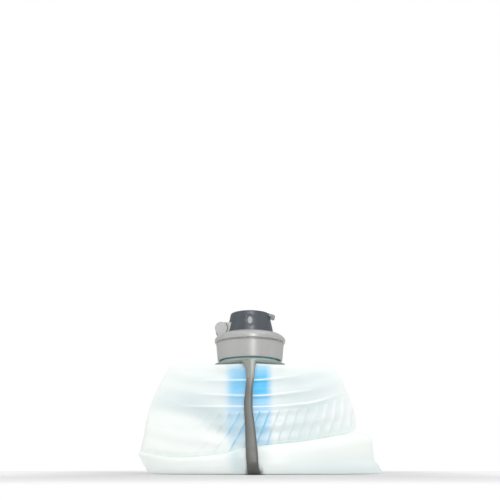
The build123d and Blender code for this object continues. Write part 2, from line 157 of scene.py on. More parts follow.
def surface_normals(points: np.ndarray) -> np.ndarray:
    """Outward unit normals of a grid that is closed round its rows: the cross product of its slopes.

    Rows run downwards and columns run to the right in front, so down crossed with right points out.

    Args:
        points: grid of points, shape (rows, columns, 3).

    Returns:
        Unit normals, same shape.
    """
    along = np.gradient(points, axis=0)
    around = np.roll(points, -1, axis=1) - np.roll(points, 1, axis=1)
    normal = np.cross(along, around)
    length = np.linalg.norm(normal, axis=-1, keepdims=True)
    return normal / np.maximum(length, 1e-12)


def add_piece(
    name: str, points: np.ndarray, faces: Iterable[Iterable[int]], smooth: bool = True
) -> bpy.types.Object:
    """Make a mesh object whose place is in its mesh.

    Args:
        name: name of the piece.
        points: points in metres, any shape that ends in 3.
        faces: point indices of each face.
        smooth: whether its faces are shaded smooth.

    Returns:
        The new object, at the origin.
    """
    mesh = bpy.data.meshes.new(name)
    mesh.from_pydata(points.reshape(-1, 3).tolist(), [], [list(map(int, face)) for face in faces])
    mesh.validate()
    mesh.polygons.foreach_set("use_smooth", np.full(len(mesh.polygons), smooth))
    mesh.update()
    piece = bpy.data.objects.new(name, mesh)
    bpy.context.scene.collection.objects.link(piece)
    return piece


def rounded_oblong(angle: np.ndarray, corner: float, crown: float) -> tuple[np.ndarray, np.ndarray]:
    """Rounded oblong of half size 1: cos and sin of the angle, each raised to a power with its sign.

    Args:
        angle: angles round the section.
        corner: power of the cosine; the smaller it is, the squarer the ends.
        crown: power of the sine; the smaller it is, the flatter the faces.

    Returns:
        The two coordinates.
    """
    wide = np.sign(np.cos(angle)) * np.abs(np.cos(angle)) ** corner
    high = np.sign(np.sin(angle)) * np.abs(np.sin(angle)) ** crown
    return wide, high


def ring_angles(count: int) -> np.ndarray:
    """Angles of points set evenly round a ring."""
    return np.linspace(0.0, 2.0 * np.pi, count, endpoint=False)


def route_normals(route: np.ndarray) -> np.ndarray:
    """Unit normals of a flat route: its slope (a, b) turned a quarter to (b, -a).

    Args:
        route: points of the route, shape (steps, 2).

    Returns:
        Unit normals, same shape.
    """
    slope = np.gradient(route, axis=0)
    slope /= np.linalg.norm(slope, axis=1, keepdims=True)
    return np.stack([slope[:, 1], -slope[:, 0]], axis=1)


def box_mm(node: str) -> np.ndarray:
    """Lower and upper corner of a node's box, in millimetres."""
    return np.array(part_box(node)) / MM


def add_mask(piece: bpy.types.Object, name: str, values: np.ndarray) -> None:
    """Store one number for each point of a piece, which its finish reads by name."""
    attribute = piece.data.attributes.new(name, "FLOAT", "POINT")
    attribute.data.foreach_set("value", values.astype(np.float32).ravel())


# ---------- finishes


class Look(Enum):
    """Names of the finishes."""

    FILM = "film"
    FLOOR_FILM = "floor film"
    NECK = "neck"
    STRAP = "strap"
    COLLAR = "collar"
    CAP = "cap"
    LID = "lid"
    SPOUT = "spout"
    SEAL = "seal"
    BADGE = "badge"
    INLAY = "inlay"
    STEEL = "steel"
    FILTER_SHELL = "filter shell"
    FILTER_END = "filter end"
    FIBRE = "fibre"
    RESIN = "resin"


class Nodes:
    """A node tree with short ways to add and join its nodes."""

    def __init__(self, tree: bpy.types.NodeTree) -> None:
        """Keep the tree."""
        self.tree = tree

    def add(self, kind: str, **settings: object) -> bpy.types.Node:
        """Add a node.

        Args:
            kind: the node's type, such as ShaderNodeMath.
            settings: properties of the node, or numbered inputs written as input_0.

        Returns:
            The node.
        """
        node = self.tree.nodes.new(kind)
        for key, value in settings.items():
            if key.startswith("input_"):
                node.inputs[int(key[6:])].default_value = value
            else:
                setattr(node, key, value)
        return node

    def join(self, source: bpy.types.NodeSocket, target: bpy.types.NodeSocket) -> None:
        """Join two sockets."""
        self.tree.links.new(source, target)

    def maths(self, operation: str, *values: object) -> bpy.types.NodeSocket:
        """Work out one number.

        Args:
            operation: name of the Math node's operation.
            values: sockets or plain numbers.

        Returns:
            The result's socket.
        """
        node = self.add("ShaderNodeMath", operation=operation)
        for number, value in enumerate(values):
            if isinstance(value, bpy.types.NodeSocket):
                self.join(value, node.inputs[number])
            else:
                node.inputs[number].default_value = value
        return node.outputs[0]

    def mix(self, share: object, first: object, second: object) -> bpy.types.NodeSocket:
        """Mix two colours.

        Args:
            share: socket or number, 0 for the first colour and 1 for the second.
            first: socket or colour.
            second: socket or colour.

        Returns:
            The mixed colour's socket.
        """
        node = self.add("ShaderNodeMix", data_type="RGBA")
        for socket, value in ((0, share), (6, first), (7, second)):
            if isinstance(value, bpy.types.NodeSocket):
                self.join(value, node.inputs[socket])
            elif isinstance(value, tuple):
                node.inputs[socket].default_value = (*value, 1.0)
            else:
                node.inputs[socket].default_value = value
        return node.outputs[2]

    def spread(self, value: bpy.types.NodeSocket, low: float, high: float) -> bpy.types.NodeSocket:
        """Stretch a value that runs from 0 to 1 so that it runs from low to high.

        Args:
            value: socket of the value.
            low: where 0 goes.
            high: where 1 goes.

        Returns:
            The result's socket.
        """
        node = self.add("ShaderNodeMapRange", input_3=low, input_4=high)
        self.join(value, node.inputs[0])
        return node.outputs[0]


def grain_group() -> bpy.types.ShaderNodeTree:
    """Build the moulded grain that the plastics and the rubber share.

    It puts out Mottle, a slow cloud; Matte, a finer cloud for roughness; Height, the spark-eroded
    texture of the mould with a few handling scuffs on top.

    Returns:
        The node group.
    """
    group = bpy.data.node_groups.new("moulded_grain", "ShaderNodeTree")
    interface = group.interface
    interface.new_socket("Scale", in_out="INPUT", socket_type="NodeSocketFloat")
    interface.new_socket("Scuffs", in_out="INPUT", socket_type="NodeSocketFloat")
    for name in ("Mottle", "Matte", "Height"):
        interface.new_socket(name, in_out="OUTPUT", socket_type="NodeSocketFloat")
    nodes = Nodes(group)
    asked = nodes.add("NodeGroupInput")
    given = nodes.add("NodeGroupOutput")
    place = nodes.add("ShaderNodeTexCoord").outputs["Object"]
    scale = asked.outputs["Scale"]
    cloud = nodes.add("ShaderNodeTexNoise", input_2=70.0, input_3=3.0)
    fine = nodes.add("ShaderNodeTexNoise", input_3=2.0)
    pits = nodes.add("ShaderNodeTexVoronoi")
    scuff = nodes.add("ShaderNodeTexNoise", input_3=4.0, input_8=1.6)
    stretched = nodes.add("ShaderNodeMapping")
    stretched.inputs["Scale"].default_value = (260.0, 260.0, 2400.0)
    for node in (cloud, fine, pits, stretched):
        nodes.join(place, node.inputs["Vector"])
    nodes.join(stretched.outputs[0], scuff.inputs["Vector"])
    scuff.inputs["Scale"].default_value = 1.0
    nodes.join(scale, pits.inputs["Scale"])
    nodes.join(nodes.maths("MULTIPLY", scale, 0.35), fine.inputs["Scale"])
    lines = nodes.maths("POWER", scuff.outputs[0], 6.0)
    lines = nodes.maths("MULTIPLY", lines, asked.outputs["Scuffs"])
    grain = nodes.maths("MULTIPLY", pits.outputs["Distance"], 0.6)
    grain = nodes.maths("ADD", grain, nodes.maths("MULTIPLY", fine.outputs[0], 0.4))
    nodes.join(cloud.outputs[0], given.inputs["Mottle"])
    nodes.join(nodes.maths("ADD", fine.outputs[0], lines), given.inputs["Matte"])
    nodes.join(nodes.maths("SUBTRACT", grain, lines), given.inputs["Height"])
    return group


class Finish:
    """Common part of every finish: a material with one Principled shader."""

    name: str

    def start(self) -> tuple[bpy.types.Material, Nodes, bpy.types.Node]:
        """Make an empty material.

        Returns:
            The material, its nodes and its shader.
        """
        material = bpy.data.materials.new(self.name)
        material.use_nodes = True
        nodes = Nodes(material.node_tree)
        shader = material.node_tree.nodes["Principled BSDF"]
        return material, nodes, shader

    def add_grain(
        self, nodes: Nodes, shader: bpy.types.Node, scale: float, scuffs: float, bump: tuple[float, float]
    ) -> bpy.types.Node:
        """Add the shared moulded grain, and let its height feed the shader's normal.

        Args:
            nodes: the material's nodes.
            shader: its shader.
            scale: grains per metre.
            scuffs: how much handling shows, 0 to 1.
            bump: strength of the bump and its height in metres.

        Returns:
            The grain's node.
        """
        grain = nodes.add("ShaderNodeGroup", node_tree=bpy.data.node_groups["moulded_grain"])
        grain.inputs["Scale"].default_value = scale
        grain.inputs["Scuffs"].default_value = scuffs
        relief = nodes.add("ShaderNodeBump")
        relief.inputs["Strength"].default_value = bump[0]
        relief.inputs["Distance"].default_value = bump[1]
        nodes.join(grain.outputs["Height"], relief.inputs["Height"])
        nodes.join(relief.outputs[0], shader.inputs["Normal"])
        return grain

    def build(self) -> bpy.types.Material:
        """Make the material."""
        raise NotImplementedError


@dataclass(frozen=True)
class Moulded(Finish):
    """Injection-moulded plastic or rubber with a spark-eroded grain.

    Args:
        name: the material's name.
        colour: base colour.
        roughness: middle of its roughness.
        relief: height of the grain, in metres.
        grain: grains per metre.
        scuffs: how much handling shows, 0 to 1.
        mottle: share by which the colour wanders.
        sheen: strength of a dusty sheen.
        alpha: how much it hides what is behind it.
        subsurface: share of light that scatters inside.
    """

    name: str
    colour: Colour
    roughness: float = 0.42
    relief: float = 0.00002
    grain: float = 2600.0
    scuffs: float = 0.3
    mottle: float = 0.06
    sheen: float = 0.0
    alpha: float = 1.0
    subsurface: float = 0.0

    def build(self) -> bpy.types.Material:
        """Make the material.

        Returns:
            The material.
        """
        material, nodes, shader = self.start()
        grain = self.add_grain(nodes, shader, self.grain, self.scuffs, (0.5, self.relief))
        darker = tuple(c * (1.0 - self.mottle) for c in self.colour)
        lighter = tuple(min(c * (1.0 + self.mottle), 1.0) for c in self.colour)
        nodes.join(
            nodes.mix(grain.outputs["Mottle"], darker, lighter), shader.inputs["Base Color"]
        )
        rough = nodes.spread(grain.outputs["Matte"], self.roughness - 0.06, self.roughness + 0.06)
        nodes.join(rough, shader.inputs["Roughness"])
        shader.inputs["Sheen Weight"].default_value = self.sheen
        shader.inputs["Sheen Roughness"].default_value = 0.4
        shader.inputs["Alpha"].default_value = self.alpha
        shader.inputs["Subsurface Weight"].default_value = self.subsurface
        shader.inputs["Subsurface Scale"].default_value = 0.002
        shader.inputs["IOR"].default_value = 1.49
        return material


@dataclass(frozen=True)
class Film(Finish):
    """Milky translucent film that carries the marks stored on the piece: how doubled it is, and its painted
    shade, highlights and glow.

    Args:
        name: the material's name.
        colour: colour where it lies flat.
        shade: colour of the painted shade in the folds, under the ribs, above the bulge and low on the
            roll.
        glow: colour of the painted glow that stands in for the filter's blue showing through from behind.
        thin: how much a single layer hides.
        thick: how much it hides where it is doubled over.
        line: colour of the painted blue refraction along the slats' edges in front of the filter.
        crest: colour of the painted highlights along the ribs, the slats' upper edges and the pleats.
        lit: strength with which it glows in its own colour, painted light that stands in for light
            scattered inside it.
    """

    name: str
    colour: Colour
    shade: Colour
    glow: Colour
    thin: float
    thick: float
    line: Colour = (0.05, 0.57, 0.93)
    crest: Colour = (1.0, 1.0, 1.0)
    lit: float = 0.15

    def build(self) -> bpy.types.Material:
        """Make the material.

        Returns:
            The material.
        """
        material, nodes, shader = self.start()
        masks = {
            name: nodes.add("ShaderNodeAttribute", attribute_name=name).outputs["Fac"]
            for name in ("doubled", "shaded", "glow", "line", "crest")
        }
        grain = self.add_grain(nodes, shader, 900.0, 0.4, (0.35, 0.00004))
        cloudy = nodes.spread(grain.outputs["Mottle"], 0.75, 1.25)
        # Painted shade, painted glow, painted refraction lines and painted highlights, each mixed in by its
        # mask.
        shaded = nodes.maths("MULTIPLY", masks["shaded"], cloudy)
        colour = nodes.mix(shaded, self.colour, self.shade)
        colour = nodes.mix(nodes.maths("MULTIPLY", masks["glow"], cloudy), colour, self.glow)
        colour = nodes.mix(masks["line"], colour, self.line)
        colour = nodes.mix(masks["crest"], colour, self.crest)
        nodes.join(colour, shader.inputs["Base Color"])
        alpha = nodes.spread(masks["doubled"], self.thin, self.thick)
        nodes.join(alpha, shader.inputs["Alpha"])
        rough = nodes.spread(grain.outputs["Matte"], 0.34, 0.50)
        nodes.join(rough, shader.inputs["Roughness"])
        # Painted light: the film glows faintly in its own colour, with its painted glow and highlights.
        nodes.join(colour, shader.inputs["Emission Color"])
        shader.inputs["Emission Strength"].default_value = self.lit
        shader.inputs["IOR"].default_value = 1.45
        return material


@dataclass(frozen=True)
class Elastic(Finish):
    """Soft elastomer, with painted light: a highlight along the ridge of its upper part and a paler top,
    where light from above falls.

    Args:
        name: the material's name.
        colour: its own colour.
        stretched: colour of the painted light, where the mask named stretched is 1.
    """

    name: str
    colour: Colour
    stretched: Colour

    def build(self) -> bpy.types.Material:
        """Make the material.

        Returns:
            The material.
        """
        material, nodes, shader = self.start()
        grain = self.add_grain(nodes, shader, 2200.0, 0.5, (0.5, 0.00002))
        # The mask named stretched carries painted light: a ridge highlight and a paler top.
        mask = nodes.add("ShaderNodeAttribute", attribute_name="stretched").outputs["Fac"]
        cloudy = nodes.spread(grain.outputs["Mottle"], 0.8, 1.2)
        darker = tuple(0.9 * c for c in self.colour)
        base = nodes.mix(grain.outputs["Mottle"], darker, self.colour)
        colour = nodes.mix(nodes.maths("MULTIPLY", mask, cloudy), base, self.stretched)
        nodes.join(colour, shader.inputs["Base Color"])
        nodes.join(nodes.spread(grain.outputs["Matte"], 0.40, 0.56), shader.inputs["Roughness"])
        shader.inputs["Sheen Weight"].default_value = 0.15
        return material


@dataclass(frozen=True)
class Steel(Finish):
    """Drawn steel wire with fine lines round it.

    Args:
        name: the material's name.
        colour: colour of its bright lines.
    """

    name: str
    colour: Colour

    def build(self) -> bpy.types.Material:
        """Make the material.

        Returns:
            The material.
        """
        material, nodes, shader = self.start()
        place = nodes.add("ShaderNodeTexCoord").outputs["Object"]
        stretch = nodes.add("ShaderNodeMapping")
        stretch.inputs["Scale"].default_value = (400.0, 9000.0, 400.0)
        lines = nodes.add("ShaderNodeTexNoise", input_2=1.0, input_3=3.0)
        nodes.join(place, stretch.inputs[0])
        nodes.join(stretch.outputs[0], lines.inputs["Vector"])
        darker = tuple(0.8 * c for c in self.colour)
        nodes.join(nodes.mix(lines.outputs[0], darker, self.colour), shader.inputs["Base Color"])
        nodes.join(nodes.spread(lines.outputs[0], 0.2, 0.42), shader.inputs["Roughness"])
        shader.inputs["Metallic"].default_value = 1.0
        return material


@dataclass(frozen=True)
class Fibre(Finish):
    """Hollow fibres: soft white threads with faint bands across them.

    Args:
        name: the material's name.
        colour: colour between the bands.
    """

    name: str
    colour: Colour

    def build(self) -> bpy.types.Material:
        """Make the material.

        Returns:
            The material.
        """
        material, nodes, shader = self.start()
        place = nodes.add("ShaderNodeTexCoord").outputs["Object"]
        bands = nodes.add("ShaderNodeTexWave", bands_direction="Z")
        bands.inputs["Scale"].default_value = 900.0
        bands.inputs["Distortion"].default_value = 6.0
        nodes.join(place, bands.inputs["Vector"])
        darker = tuple(0.86 * c for c in self.colour)
        nodes.join(nodes.mix(bands.outputs["Fac"], darker, self.colour), shader.inputs["Base Color"])
        nodes.join(nodes.spread(bands.outputs["Fac"], 0.5, 0.7), shader.inputs["Roughness"])
        shader.inputs["Sheen Weight"].default_value = 0.3
        return material


FINISHES: dict[Look, Finish] = {
    Look.FILM: Film(
        name="film",
        colour=(0.925, 0.965, 0.940),
        # shade is the colour of painted shade, and glow the colour of painted light from the filter behind.
        shade=(0.59, 0.71, 0.73),
        glow=(0.04, 0.58, 0.97),
        thin=0.70,
        thick=0.97,
    ),
    Look.FLOOR_FILM: Moulded("floor_film", (0.84, 0.90, 0.91), roughness=0.4, alpha=0.8),
    Look.NECK: Moulded("neck", (0.50, 0.76, 0.74), roughness=0.25, alpha=0.85, grain=1800.0),
    # The strap's second colour is painted light, shown where its mask named stretched is 1.
    Look.STRAP: Elastic("strap", (0.112, 0.117, 0.107), (0.56, 0.58, 0.54)),
    Look.COLLAR: Moulded("collar", (0.29, 0.305, 0.28), roughness=0.5, sheen=0.1, scuffs=0.4),
    Look.CAP: Moulded("cap", (0.465, 0.470, 0.460), roughness=0.32, relief=0.00001),
    Look.LID: Moulded("lid", (0.080, 0.094, 0.112), roughness=0.30, relief=0.00001),
    Look.SPOUT: Moulded("spout", (0.40, 0.45, 0.47), roughness=0.35),
    Look.SEAL: Moulded("seal", (0.62, 0.64, 0.65), roughness=0.6, sheen=0.2),
    Look.BADGE: Moulded("badge", (0.035, 0.040, 0.055), roughness=0.4),
    Look.INLAY: Moulded("inlay", (0.34, 0.37, 0.38), roughness=0.3),
    Look.STEEL: Steel("steel", (0.60, 0.61, 0.62)),
    Look.FILTER_SHELL: Moulded("filter_shell", (0.02, 0.46, 0.94), roughness=0.25, alpha=0.9),
    Look.FILTER_END: Moulded("filter_end", (0.08, 0.42, 0.85), roughness=0.35),
    Look.FIBRE: Fibre("fibre", (0.88, 0.92, 0.95)),
    Look.RESIN: Moulded("resin", (0.78, 0.80, 0.74), roughness=0.2, subsurface=0.2),
}


def dress_nodes(materials: dict[Look, bpy.types.Material]) -> None:
    """Give the frame's nodes their finishes, as NODE_LOOKS lists them.

    Args:
        materials: the material of each finish.
    """
    for look, names in NODE_LOOKS.items():
        for name in names:
            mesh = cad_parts[name].data
            mesh.materials.clear()
            mesh.materials.append(materials[look])


# ---------- the folded film


@dataclass(frozen=True)
class FoldLine:
    """One level line of the folded film.

    Args:
        left: reach of the crease to the left, in millimetres.
        right: reach of the crease to the right.
        depth: half of the depth, front to back.
        heights: height at each of the STATIONS.
        rows: mesh rows from this line to the next one down.
        roundness: 0 for two flat arcs that meet in creases, 1 for a circle.
    """

    left: float
    right: float
    depth: float
    heights: tuple[float, ...]
    rows: int
    roundness: float = 0.0

    def points(self, s: np.ndarray, side: np.ndarray) -> np.ndarray:
        """Work out the line.

        Across the width, x runs with s from crease to crease and y is the depth times
        (1 - s^2)^0.85; a round line has x = -cos a and y = sin a instead, with a = 90 (s + 1) degrees.

        Args:
            s: share of the way from the left crease, -1, to the right one, 1.
            side: -1 on the front and 1 on the back.

        Returns:
            Points in millimetres, shape (columns, 3).
        """
        angle = 0.5 * np.pi * (s + 1.0)
        width = (1.0 - self.roundness) * s - self.roundness * np.cos(angle)
        flat = np.maximum(1.0 - s**2, 0.0) ** 0.85
        bulge = (1.0 - self.roundness) * flat + self.roundness * np.sin(angle)
        middle = 0.5 * (self.right - self.left)
        half = 0.5 * (self.right + self.left)
        height = across(s, self.heights)
        return np.stack([middle + half * width, side * self.depth * bulge, height], axis=-1)


FILM_LINES_MM: tuple[FoldLine, ...] = (
    FoldLine(21.7, 21.7, 21.7, (73.3,) * 6, 3, 1.0),
    FoldLine(24.9, 24.9, 24.9, (72.8,) * 6, 9, 1.0),
    FoldLine(56.2, 54.0, 25.6, (73.7, 72.9, 72.2, 72.0, 72.6, 74.3), 6, 0.1),
    FoldLine(58.6, 58.8, 27.0, (71.8, 70.4, 69.4, 69.4, 70.4, 72.6), 20),
    FoldLine(63.0, 66.0, 28.6, (62.6, 57.5, 56.0, 56.0, 57.6, 61.6), 20),
    FoldLine(67.6, 70.8, 29.8, (53.4, 46.0, 44.0, 43.5, 45.2, 49.2), 16),
    FoldLine(71.7, 73.2, 30.4, (39.4, 35.5, 33.6, 33.0, 34.8, 38.6), 14),
    FoldLine(73.3, 73.5, 30.2, (27.4, 24.0, 23.6, 24.6, 28.0, 33.6), 14),
    FoldLine(75.2, 72.2, 29.5, (18.6, 14.6, 15.8, 19.2, 23.6, 29.6), 5),
    FoldLine(75.9, 65.5, 27.6, (15.4, 10.9, 12.6, 16.2, 20.3, 27.2), 5),
    FoldLine(76.4, 72.0, 29.4, (14.8, 11.0, 13.0, 17.2, 21.4, 27.6), 6),
    FoldLine(76.9, 80.5, 33.2, (14.0, 10.3, 12.2, 16.4, 20.6, 26.6), 7),
    FoldLine(76.7, 84.6, 35.2, (12.8, 8.4, 9.4, 12.6, 15.8, 22.6), 10),
    FoldLine(75.0, 85.2, 35.4, (10.3, 5.6, 5.8, 7.5, 9.0, 11.0), 10),
    FoldLine(72.5, 89.2, 34.4, (5.0, 2.6, 2.6, 3.2, 3.8, 5.2), 7),
    FoldLine(68.0, 90.6, 31.5, (0.7, 0.4, 0.5, 0.6, 0.6, 1.3), 6),
    FoldLine(58.0, 76.0, 27.8, (0.35,) * 6, 10, 0.1),
    FoldLine(25.4, 25.4, 25.4, (0.3,) * 6, 5, 1.0),
    FoldLine(25.3, 25.3, 25.3, (4.0,) * 6, 4, 1.0),
    FoldLine(0.4, 0.4, 0.4, (4.2,) * 6, 1, 1.0),
)


# How strongly the painted glow of the filter, seen through the film, shows at these heights.
GLOW_Z_MM = (12.0, 22.0, 32.0, 43.0, 47.0, 56.0, 62.0, 67.0, 72.0)
GLOW = (0.0, 0.30, 0.52, 0.58, 0.70, 1.0, 0.94, 0.80, 0.34)


@dataclass
class FoldedFilm:
    """The soft wall, folded under its neck, with its ribs, slats and rolled lowest fold.

    Args:
        front_columns: mesh columns across the front.
        back_columns: mesh columns across the back.
        ribs_mm: height of each drooping rib at the STATIONS.
        rib_reach: share of the half width where each rib has faded, to the left and to the right.
        slat_top_mm: height of the slats' upper edge at the STATIONS.
        slat_pitch_mm: distance from one slat to the next.
        slat_relief_mm: how far each slat's edge stands out.
        slat_lean_deg: lean of the slats at the STATIONS.
        bulge_top_mm: height of the upper edge of the bulge at the lower left, at the STATIONS.
        bulge_mm: how far that bulge stands out.
        strap_middle_mm: where the strap crosses the lowest fold.
        pinch_mm: how far the strap pulls that fold in.
        strap_foot_mm: middle of the strap's foot.
        lift_mm: how far the strap lifts the underside.
    """

    front_columns: int = 340
    back_columns: int = 160
    ribs_mm: tuple[tuple[float, ...], ...] = (
        (64.0, 61.9, 61.4, 61.3, 65.0, 71.5),
        (61.5, 53.6, 51.2, 50.7, 54.4, 64.3),
        (55.8, 44.8, 43.8, 43.5, 46.2, 57.0),
    )
    rib_reach: tuple[tuple[float, float], ...] = ((-0.42, 0.45), (-0.42, 0.60), (-0.55, 0.85))
    slat_top_mm: tuple[float, ...] = (54.0, 42.0, 39.3, 39.9, 42.9, 54.2)
    slat_pitch_mm: float = 6.5
    slat_relief_mm: float = 0.55
    slat_lean_deg: tuple[float, ...] = (46.0, 42.0, 32.0, 23.5, 20.0, 8.0)
    bulge_top_mm: tuple[float, ...] = (43.0, 37.5, 25.5, 17.0, 6.0, 6.0)
    bulge_mm: float = 2.3
    strap_middle_mm: float = 1.2
    pinch_mm: float = 2.8
    strap_foot_mm: float = 2.8
    lift_mm: float = 2.2
    s: np.ndarray = field(init=False)
    side: np.ndarray = field(init=False)

    def __post_init__(self) -> None:
        """Lay out the columns: left crease to right crease in front, then back again behind."""
        front = np.linspace(-1.0, 1.0, self.front_columns, endpoint=False)
        back = np.linspace(1.0, -1.0, self.back_columns, endpoint=False)
        self.s = np.concatenate([front, back])
        self.s = 0.82 * self.s + 0.18 * np.sin(0.5 * np.pi * self.s)
        self.side = np.repeat([-1.0, 1.0], [self.front_columns, self.back_columns])

    def base_surface(self) -> tuple[np.ndarray, np.ndarray]:
        """Carry the level lines down the film: each column is a monotone curve through them.

        Returns:
            Points in millimetres, shape (rows, columns, 3), and each row's place among the lines.
        """
        lines = np.stack([line.points(self.s, self.side) for line in FILM_LINES_MM])
        count = len(FILM_LINES_MM)
        knots = np.arange(count, dtype=float)
        spans = [
            number + np.arange(line.rows) / line.rows
            for number, line in enumerate(FILM_LINES_MM[:-1])
        ]
        at = np.concatenate([*spans, [count - 1.0]])
        flat = monotone_spline(knots, lines.reshape(count, -1), at)
        return flat.reshape(len(at), -1, 3), at

    def build(self) -> bpy.types.Object:
        """Make the film.

        Returns:
            The piece.
        """
        points, level = self.base_surface()
        x, z = points[..., 0], points[..., 2]
        s = np.broadcast_to(self.s, x.shape)
        front = np.broadcast_to(self.side < 0, x.shape).astype(float)
        row = np.broadcast_to(level[:, None], x.shape)
        flank = np.maximum(1.0 - s**2, 0.0) ** 0.5
        tent = smoothstep(2.8, 3.8, row) * (1.0 - smoothstep(8.0, 8.9, row))
        roll = smoothstep(9.6, 11.0, row) * (1.0 - smoothstep(14.5, 15.5, row))

        push = np.zeros_like(x)
        crest = np.zeros_like(x)
        shade_under_ribs = np.zeros_like(x)
        for heights, (left, right) in zip(self.ribs_mm, self.rib_reach):
            rib = across(s, heights)
            strength = smoothstep(left - 0.25, left + 0.25, s)
            strength *= 1.0 - smoothstep(right - 0.3, right + 0.15, s)
            strength *= tent
            push += (0.25 + 0.75 * strength) * tent * 0.5 * bell(z, rib, 0.7) * flank
            push -= strength * 0.4 * bell(z, rib - 1.9, 1.3) * flank
            # Painted highlight along the top of each rib, and painted shade just under it.
            crest = np.maximum(crest, strength * bell(z, rib, 0.52))
            shade_under_ribs = np.maximum(shade_under_ribs, strength * bell(z, rib - 1.8, 1.5))
        push += tent * 0.5 * flank * np.cos(2.0 * np.pi * (z - across(s, self.ribs_mm[1])) / 10.0)

        top = across(s, self.slat_top_mm)
        slats = tent * smoothstep(0.0, 0.7, top - z)
        lean = np.tan(np.radians(across(s, self.slat_lean_deg)))
        phase = (x - (z - top) * lean) / self.slat_pitch_mm
        share = phase - np.floor(phase)
        saw = share * (1.0 - smoothstep(0.90, 1.0, share)) - 0.5
        pleat = 0.9 * np.cos(2.0 * np.pi * phase) * smoothstep(0.0, 14.0, top - z)
        wide = smoothstep(0.42, 0.75, s)
        fade = (0.04 + 0.96 * smoothstep(-0.66, -0.16, s)) * np.minimum(4.0 * flank, 1.0)
        push += slats * fade * self.slat_relief_mm * ((1.0 - wide) * saw + wide * pleat)
        gap = np.abs(share - 0.96)
        gap = np.minimum(gap, 1.0 - gap) * self.slat_pitch_mm
        # Painted light: blue refraction lines at the slats' edges, and a painted highlight along their
        # upper edge.
        line = slats * bell(gap, 0.0, 0.36) * (1.0 - wide) * fade
        edge = tent * bell(z, top - 0.1 + 0.7 * (share - 0.5), 0.4) * (gap > 0.7)
        edge *= smoothstep(-0.35, -0.15, s) * (1.0 - smoothstep(0.25, 0.6, s))

        swell = front * smoothstep(0.0, 9.0, across(s, self.bulge_top_mm) - z)
        swell *= tent * (1.0 - smoothstep(-0.16, -0.02, s)) * np.minimum(3.0 * flank, 1.0)
        push += self.bulge_mm * swell * (1.0 - smoothstep(5.0, 26.0, np.abs(x + 40.0) - 20.0))

        wave = 0.5 * np.sin(x / 9.0 + 1.3) + 0.35 * np.sin(x / 4.7 + z / 6.0 + 0.4)
        push += roll * flank * 0.6 * wave
        push += tent * flank * 0.35 * np.sin(x / 13.0 + z / 9.0 - 2.0 * front)

        points = points + push[..., None] * surface_normals(points)
        pinch = bell(points[..., 0], self.strap_middle_mm, 10.0) * smoothstep(8.0, 10.5, row)
        pinch *= 1.0 - smoothstep(15.0, 16.5, row)
        points[..., 1] *= 1.0 - pinch * self.pinch_mm / 34.0
        under = 1.0 - smoothstep(4.8, 5.5, np.abs(points[..., 0] - self.strap_foot_mm))
        under *= smoothstep(12.5, 15.0, row)
        under *= 1.0 - smoothstep(17.0, 17.6, row)
        points[..., 2] += self.lift_mm * under * (1.0 - smoothstep(2.0, 14.0, points[..., 2]))

        piece = add_piece("folded_film", points * MM, self.faces(points.shape[0]))
        x, z = points[..., 0], points[..., 2]
        # Painted glow where the filter stands behind the film, a little weaker to the left of the strap.
        behind = smoothstep(-19.0, -9.5, x) * (1.0 - smoothstep(9.5, 16.5, x))
        behind *= 0.76 + 0.24 * smoothstep(-3.0, 3.0, x)
        rows_of_glow = monotone_spline(np.array(GLOW_Z_MM), np.array(GLOW)[:, None], z.ravel())
        glow = behind * rows_of_glow.reshape(z.shape) * smoothstep(2.0, 2.6, row) * (row < 9.0)
        # Painted shade: in the roll's valley by the strap, low on the roll, above the bulge, on the right,
        # under the ribs and along the slat lines, less where the glow is.
        valley_shade = roll * front * bell(x, -8.0, 5.5) * bell(z, 9.0, 7.0)
        low = roll * (1.0 - smoothstep(1.0, 19.0, z)) * smoothstep(-0.2, 0.7, s)
        above = z - across(s, self.bulge_top_mm)
        brow_shade = smoothstep(-1.0, 4.0, above) * (1.0 - smoothstep(6.0, 20.0, above))
        brow_shade *= front * (1.0 - smoothstep(-0.28, -0.04, s))
        greyer = 0.22 * smoothstep(0.0, 12.0, above) + 0.26 * smoothstep(0.0, 0.5, s) + 0.62 * brow_shade
        shade = tent * flank * greyer + valley_shade + 0.48 * low + 0.30 * shade_under_ribs
        shade = (shade + 0.30 * line) * (1.0 - 0.75 * glow)
        # Painted highlight: bright streaks down the pleats on the right.
        pleat_highlight = slats * smoothstep(0.2, 0.9, np.cos(2.0 * np.pi * phase)) * smoothstep(0.52, 0.66, s)
        pleat_highlight *= (1.0 - smoothstep(0.90, 0.97, s)) * smoothstep(2.0, 14.0, z - 27.0)
        doubled = 0.35 + 0.5 * roll + 0.5 * crest + 0.3 * slats * fade * (saw + 0.5) + 0.4 * swell
        add_mask(piece, "glow", np.clip(glow * (1.0 - 0.3 * slats * (saw + 0.5)), 0.0, 1.0))
        add_mask(piece, "line", np.clip(0.8 * line * behind * (z > 14.0), 0.0, 1.0))
        add_mask(piece, "crest", np.clip(np.maximum(np.maximum(crest, 0.8 * edge), 0.6 * pleat_highlight), 0.0, 1.0))
        add_mask(piece, "shaded", np.clip(shade, 0.0, 1.0))
        add_mask(piece, "doubled", np.clip(doubled + 0.4 * (1.0 - flank), 0.0, 1.0))
        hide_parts("bottle_shell")
        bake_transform(piece)
        return piece

    def faces(self, rows: int) -> list[list[int]]:
        """Outward faces of the film, closed at the middle of its floor and open at its welded mouth.

        Args:
            rows: number of mesh rows.

        Returns:
            Point indices of each face.
        """
        columns = len(self.s)
        quads = grid_quads(rows, columns)[:, ::-1]
        last = np.arange(columns)[::-1] + (rows - 1) * columns
        return [*quads.tolist(), last.tolist()]


# ---------- the strap


